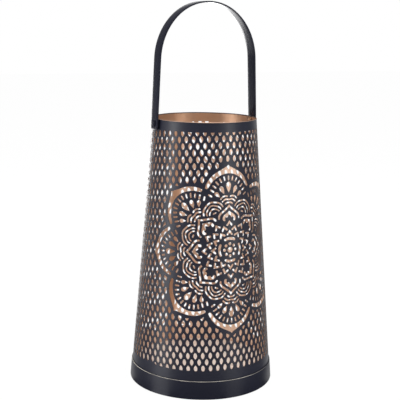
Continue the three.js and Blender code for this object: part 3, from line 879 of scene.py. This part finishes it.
def bar_outline(inset):
    """The flat bar's edge, anticlockwise: two long sides and two ends with small round corners."""
    half = strap_width / 2 - inset
    radius = bar_corner - inset
    bend = radius * np.exp(0.5j * math.pi * np.arange(1, 5) / 5)
    far = strap_length - bar_corner
    rise = 1j * (half - radius)
    return np.concatenate([
        bar_columns - 1j * half, far - rise - 1j * bend, far + rise + bend,
        bar_columns[::-1] + 1j * half, bar_corner + rise + 1j * bend, bar_corner - rise - bend,
    ])


def bar_loops(inset):
    """The bar's outline, and its two bores as holes, all that much inside the steel's edge."""
    bores = [disc(place, strap_bore + inset, bore_sides)[::-1] for place in bore_places]
    return [bar_outline(inset), *bores]


def bent_bar(materials):
    """The bar as two flat faces joined round its outline and its two bores by eased edges."""
    top_loops = bar_loops(strap_steps[0][0])
    columns = bar_columns[1:-1]
    loose = np.concatenate([columns + 1j * inner_row, columns - 1j * inner_row])
    loose = loose[np.abs(loose[:, None] - bore_places).min(axis=1) > inner_row_clear]
    points, skin = cut_sheet(top_loops[0], [loop[::-1] for loop in top_loops[1:]], loose)[:2]
    count = len(points)
    half = strap_thickness / 2
    levels = [(in_by, half - down) for in_by, down in strap_steps]
    levels += [(in_by, down - half) for in_by, down in strap_steps[::-1]]
    places = [bent(points, half), bent(points, -half)]
    faces = [*skin.tolist(), *(skin[:, ::-1] + count).tolist()]
    wear_and_sheen = [np.full(2 * count, 0.0)]
    total = 2 * count
    for number, top_loop in enumerate(top_loops):
        own = np.abs(points[:, None] - top_loop).argmin(axis=0)
        size = len(own)
        ladder = [own]
        for in_by, raised in levels[1:-1]:
            places.append(bent(bar_loops(in_by)[number], raised))
            wear_and_sheen.append(np.full(size, 1.0 if abs(raised) > half - strap_edge else 0.4))
            ladder.append(total + np.arange(size))
            total += size
        ladder = np.stack([*ladder, own + count])
        upper, lower = ladder[:-1], ladder[1:]
        beside_upper, beside_lower = np.roll(upper, -1, axis=1), np.roll(lower, -1, axis=1)
        strips = np.stack([beside_upper, upper, lower, beside_lower], axis=-1).reshape(-1, 4)
        faces += strips.tolist()
    piece = make_piece("strap_handle", np.concatenate(places), faces, materials)
    add_attribute(piece, "wear_and_sheen", np.concatenate(wear_and_sheen))
    return piece


strap_black = black_paint("strap_paint_black", strap_paint, roughness=0.2, specular=0.1, wear_and_sheen_share=0.1)
strap_handle = bent_bar([strap_black])
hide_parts("handle_strap")
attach(strap_handle, "handle")


# The rivets and their backing washers.
# Shouldered steel rivets, put in from outside through the strap and the sheet and closed inside over a
# washer. Their low heads are painted with the strap, their closed ends and the washers in a copper darker
# than the inside, which paints shade on them.
rivet_segments = 48
pin_middle = 0.01
closed_head_height, closed_head_radius = 0.7, 3.0
washer_from = 1.0
tenon_radius = 1.7
shoulder_radius = 2.5
shoulder_seat = 0.35
head_height, head_radius = 0.9, 3.6
head_rise = 0.65
dome_power = 0.6
washer_bore, washer_radius = 2.0, 4.5


def along_axis(node_name):
    """The distances from the middle to a node's inner and outer end, in millimetres."""
    return sorted(abs(corner.x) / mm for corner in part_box(node_name))


def turned_pin(name, node_name, profile, materials, face_material=None):
    """A profile of distance along the pivot's axis and radius, turned once round that axis."""
    turn = 2 * math.pi * np.arange(rivet_segments)[:, None] / rivet_segments
    side = 1 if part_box(node_name)[1].x > 0 else -1
    along, radius = profile.real, profile.imag
    x, height = side * along + 0 * turn, radius * np.sin(turn) + pivot_height
    places = np.stack([x, side * radius * np.cos(turn), height], axis=-1)
    piece = turned(name, places, materials, face_material)
    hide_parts(node_name)
    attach(piece, "body")
    return piece


def rivet_profile(inner, outer):
    """Closed head, tenon, shoulder and low domed head, from the inner end outwards. Both heads are
    domes: sin a along the axis and cos^0.6 a across it."""
    dome = np.linspace(math.pi / 2, 0, 7)
    round_off = np.cos(dome) ** dome_power
    closed_head = inner + closed_head_height * (1 - np.sin(dome)) + 1j * closed_head_radius * round_off
    closed_head += 1j * pin_middle
    cap = outer - head_rise * (1 - np.sin(dome)) + 1j * head_radius * round_off
    washer = inner + washer_from
    shoulder = wall_radius(pivot_height) + shoulder_radius * taper + shoulder_seat
    head = outer - head_height
    shank = [
        washer + 1j * closed_head_radius, washer + 1j * tenon_radius, shoulder + 1j * tenon_radius,
        shoulder + 1j * shoulder_radius, head + 1j * shoulder_radius, head + 1j * head_radius,
    ]
    return np.concatenate([closed_head, shank, cap[:0:-1], [outer + 1j * pin_middle]])


rivet_black = black_paint("rivet_paint_black", strap_paint, roughness=0.5, specular=0.08)
# The rivets' inner copper is darker than the inside, as painted shade.
rivet_copper = copper_paint("rivet_paint_copper", dark_copper_and_shade, (0.30, 0.18, 0.12))
for side in ("left", "right"):
    section = rivet_profile(*along_axis(f"rivet_{side}"))
    inside_rim = (section.real < wall_radius(pivot_height) - 1).astype(int)
    rivet = turned_pin(f"rivet_pin_{side}", f"rivet_{side}", section, [rivet_black, rivet_copper], inside_rim)


def washer_profile(inner, outer):
    """A flat ring with eased corners."""
    bore, rim = 1j * washer_bore, 1j * washer_radius
    return rounded([inner + bore, outer + bore, outer + rim, inner + rim], (0.1, 0.1, 0.25, 0.25), 3)[::-1]


for side in ("left", "right"):
    name = f"rivet_washer_{side}"
    washer = turned_pin(f"backing_washer_{side}", name, washer_profile(*along_axis(name)), [rivet_copper])


# The studio: a white floor that keeps the lantern's shadow, a white surround, and soft lamps.
# The camera stands a metre away, a little to the left of the rosette and about at the handle's height.
camera_turn = math.radians(-25.64)
camera_distance = 1.0
camera_height = 0.39375
camera_pitch = 0.1897
camera_yaw = -0.0037
camera_roll = 0.0161
photo_side = 400
focal_pixels = 917.58
floor_half = 6.0
floor_drop = 0.0002
camera_share = 0.93


def photo_camera():
    """A camera whose axes are turned by yaw, pitch and roll, and then with its place about the lantern."""
    level = math.cos(camera_pitch)
    ahead = Vector((math.sin(camera_yaw) * level, math.cos(camera_yaw) * level, -math.sin(camera_pitch)))
    right = Vector((math.cos(camera_yaw), -math.sin(camera_yaw), 0))
    up = right.cross(ahead)
    rolled_right = right * math.cos(camera_roll) + up * math.sin(camera_roll)
    rolled_up = up * math.cos(camera_roll) - right * math.sin(camera_roll)
    axes = Matrix((rolled_right, rolled_up, -ahead)).transposed().to_4x4()
    data = bpy.data.cameras.new("photo_camera")
    data.sensor_width = 36.0
    data.lens = data.sensor_width * focal_pixels / photo_side
    data.clip_start, data.clip_end = 0.01, 50
    camera = bpy.data.objects.new("photo_camera", data)
    bpy.context.scene.collection.objects.link(camera)
    place = Matrix.Translation((0, -camera_distance, camera_height)) @ axes
    camera.matrix_world = Matrix.Rotation(camera_turn, 4, "Z") @ place
    return camera


bpy.context.scene.camera = photo_camera()


def toward(azimuth, tip=0.0):
    """A direction at an azimuth in degrees from the camera's side of the lantern, positive to the right."""
    turn = camera_turn + math.radians(azimuth)
    return math.sin(turn), -math.cos(turn), tip


def lobe(tree, way, direction, wide, narrow, low, high):
    """A value that rises from low to high where a way comes within so many degrees of a direction."""
    direction = tuple(Vector(direction).normalized())
    beside = node(tree, "VectorMath", {0: way, 1: direction}, operation="DOT_PRODUCT")
    start, end = math.cos(math.radians(wide)), math.cos(math.radians(narrow))
    return ramp(tree, beside.outputs["Value"], start, end, low, high, interpolation_type="SMOOTHSTEP")


def studio_world(level, room, ceiling):
    """White behind the lantern, to the camera and in reflections, a pale ceiling, and a dimmer room."""
    world = bpy.data.worlds.new("studio")
    bpy.context.scene.world = world
    world.use_nodes = True
    tree = world.node_tree
    background = tree.nodes["Background"]
    path = node(tree, "LightPath")
    way = node(tree, "TexCoord").outputs["Generated"]
    wall = lobe(tree, way, toward(172, -0.35), 46, 32, room, 1.0)
    above = lobe(tree, way, (0, 0, 1), 60, 40, 0.0, ceiling)
    shiny = maths(tree, "MAXIMUM", wall, above)
    lit = node(tree, "Mix", {"Factor": path.outputs["Is Glossy Ray"], "A": level, "B": shiny})
    clear = maths(tree, "MAXIMUM", path.outputs["Is Camera Ray"], path.outputs["Is Transmission Ray"])
    strength = node(tree, "Mix", {"Factor": clear, "A": lit.outputs["Result"], "B": 1.0})
    background.inputs["Color"].default_value = (1, 1, 1, 1)
    tree.links.new(strength.outputs["Result"], background.inputs["Strength"])


def soft_lamp(name, place, target, size, power, seen=True):
    """A rectangular area lamp at a place, aimed at a target."""
    data = bpy.data.lights.new(name, "AREA")
    data.shape = "RECTANGLE"
    data.size, data.size_y = size
    data.energy = power
    lamp = bpy.data.objects.new(name, data)
    lamp.visible_camera = seen
    bpy.context.scene.collection.objects.link(lamp)
    ahead = Vector(target) - Vector(place)
    lamp.matrix_world = Matrix.Translation(place) @ ahead.to_track_quat("-Z", "Y").to_matrix().to_4x4()


def fan(tree, place, azimuth, distance):
    """The direction from a spot on the floor, at an azimuth and a distance, to each place."""
    spot = tuple(distance * Vector(toward(azimuth)))
    away = node(tree, "VectorMath", {0: place, 1: spot}, operation="SUBTRACT").outputs["Vector"]
    return node(tree, "VectorMath", {0: away}, operation="NORMALIZE").outputs["Vector"]


def studio_floor(front, beside, strips):
    """A wide white floor, a hair under the hoop, that shows white with the lantern's soft shadow.
    In reflections it is front bright, or beside bright to the left, dim near the lantern and far off.
    Each strip is a bright fan, given by its azimuth, where it starts, and its strength."""
    material, tree, shader = new_material("studio_floor")
    shader.inputs["Base Color"].default_value = (0.93, 0.93, 0.93, 1)
    shader.inputs["Roughness"].default_value = 0.9
    shader.inputs["Specular IOR Level"].default_value = 0.1
    path = node(tree, "LightPath")
    place = node(tree, "TexCoord").outputs["Object"]
    way = node(tree, "VectorMath", {0: place}, operation="NORMALIZE").outputs["Vector"]
    distance = node(tree, "VectorMath", {0: place}, operation="LENGTH").outputs["Value"]
    seen = lobe(tree, way, toward(-115), 70, 35, front, beside)
    seen = maths(tree, "MULTIPLY", seen, ramp(tree, distance, 0.08, 0.6, 0.2, 1.0))
    seen = maths(tree, "MULTIPLY", seen, ramp(tree, distance, 1.6, 3.0, 1.0, 0.3))
    from_hoop = ramp(tree, distance, 0.09, 0.25, 0.5, 1.0)
    for azimuth, apex, strength in strips:
        strip = lobe(tree, fan(tree, place, apex, 0.057), toward(azimuth), 20, 7, 0.0, strength)
        seen = maths(tree, "ADD", seen, maths(tree, "MULTIPLY", strip, from_hoop))
    sweep = lobe(tree, fan(tree, place, 0, 0.125), toward(180), 46, 36, 0.0, 0.8)
    behind = lobe(tree, way, toward(180), 115, 100, 0.0, 1.0)
    seen = maths(tree, "MAXIMUM", seen, maths(tree, "MULTIPLY", sweep, behind))
    strength = node(tree, "Mix", {"Factor": path.outputs["Is Glossy Ray"], "A": 1.0, "B": seen})
    glow = node(tree, "Emission", {"Color": (1, 1, 1, 1), "Strength": strength.outputs["Result"]})
    share = maths(tree, "MULTIPLY_ADD", path.outputs["Is Camera Ray"], camera_share,
                  path.outputs["Is Glossy Ray"], use_clamp=True)
    mix = node(tree, "MixShader", {0: share, 1: shader.outputs[0], 2: glow.outputs[0]})
    tree.links.new(mix.outputs[0], tree.nodes["Material Output"].inputs["Surface"])
    corners = [(x * floor_half, y * floor_half, -floor_drop) for x, y in ((-1, -1), (1, -1), (1, 1), (-1, 1))]
    make_piece("studio_floor", corners, [(0, 1, 2, 3)], [material])


studio_world(level=0.9, room=0.25, ceiling=1.2)
studio_floor(front=0.6, beside=0.95, strips=((-66, -14, 2.6), (56, 12, 0.9), (-163, 0, 2.8)))
soft_lamp("lamp_over", (0.1, -0.2, 1.5), (0, 0, 0.1), (1.2, 1.2), 16)
soft_lamp("lamp_left", (-1.55, 0.15, 0.55), (0, 0, 0.2), (0.35, 1.3), 11)
soft_lamp("lamp_right", (0.8, -1.38, 0.5), (0, 0, 0.4), (0.3, 1.0), 6)
soft_lamp("lamp_behind", (0.2, 1.0, 0.02), (0.1, 0.4, 0.4), (0.7, 0.6), 7, seen=False)
bpy.context.scene.view_settings.view_transform = "Standard"
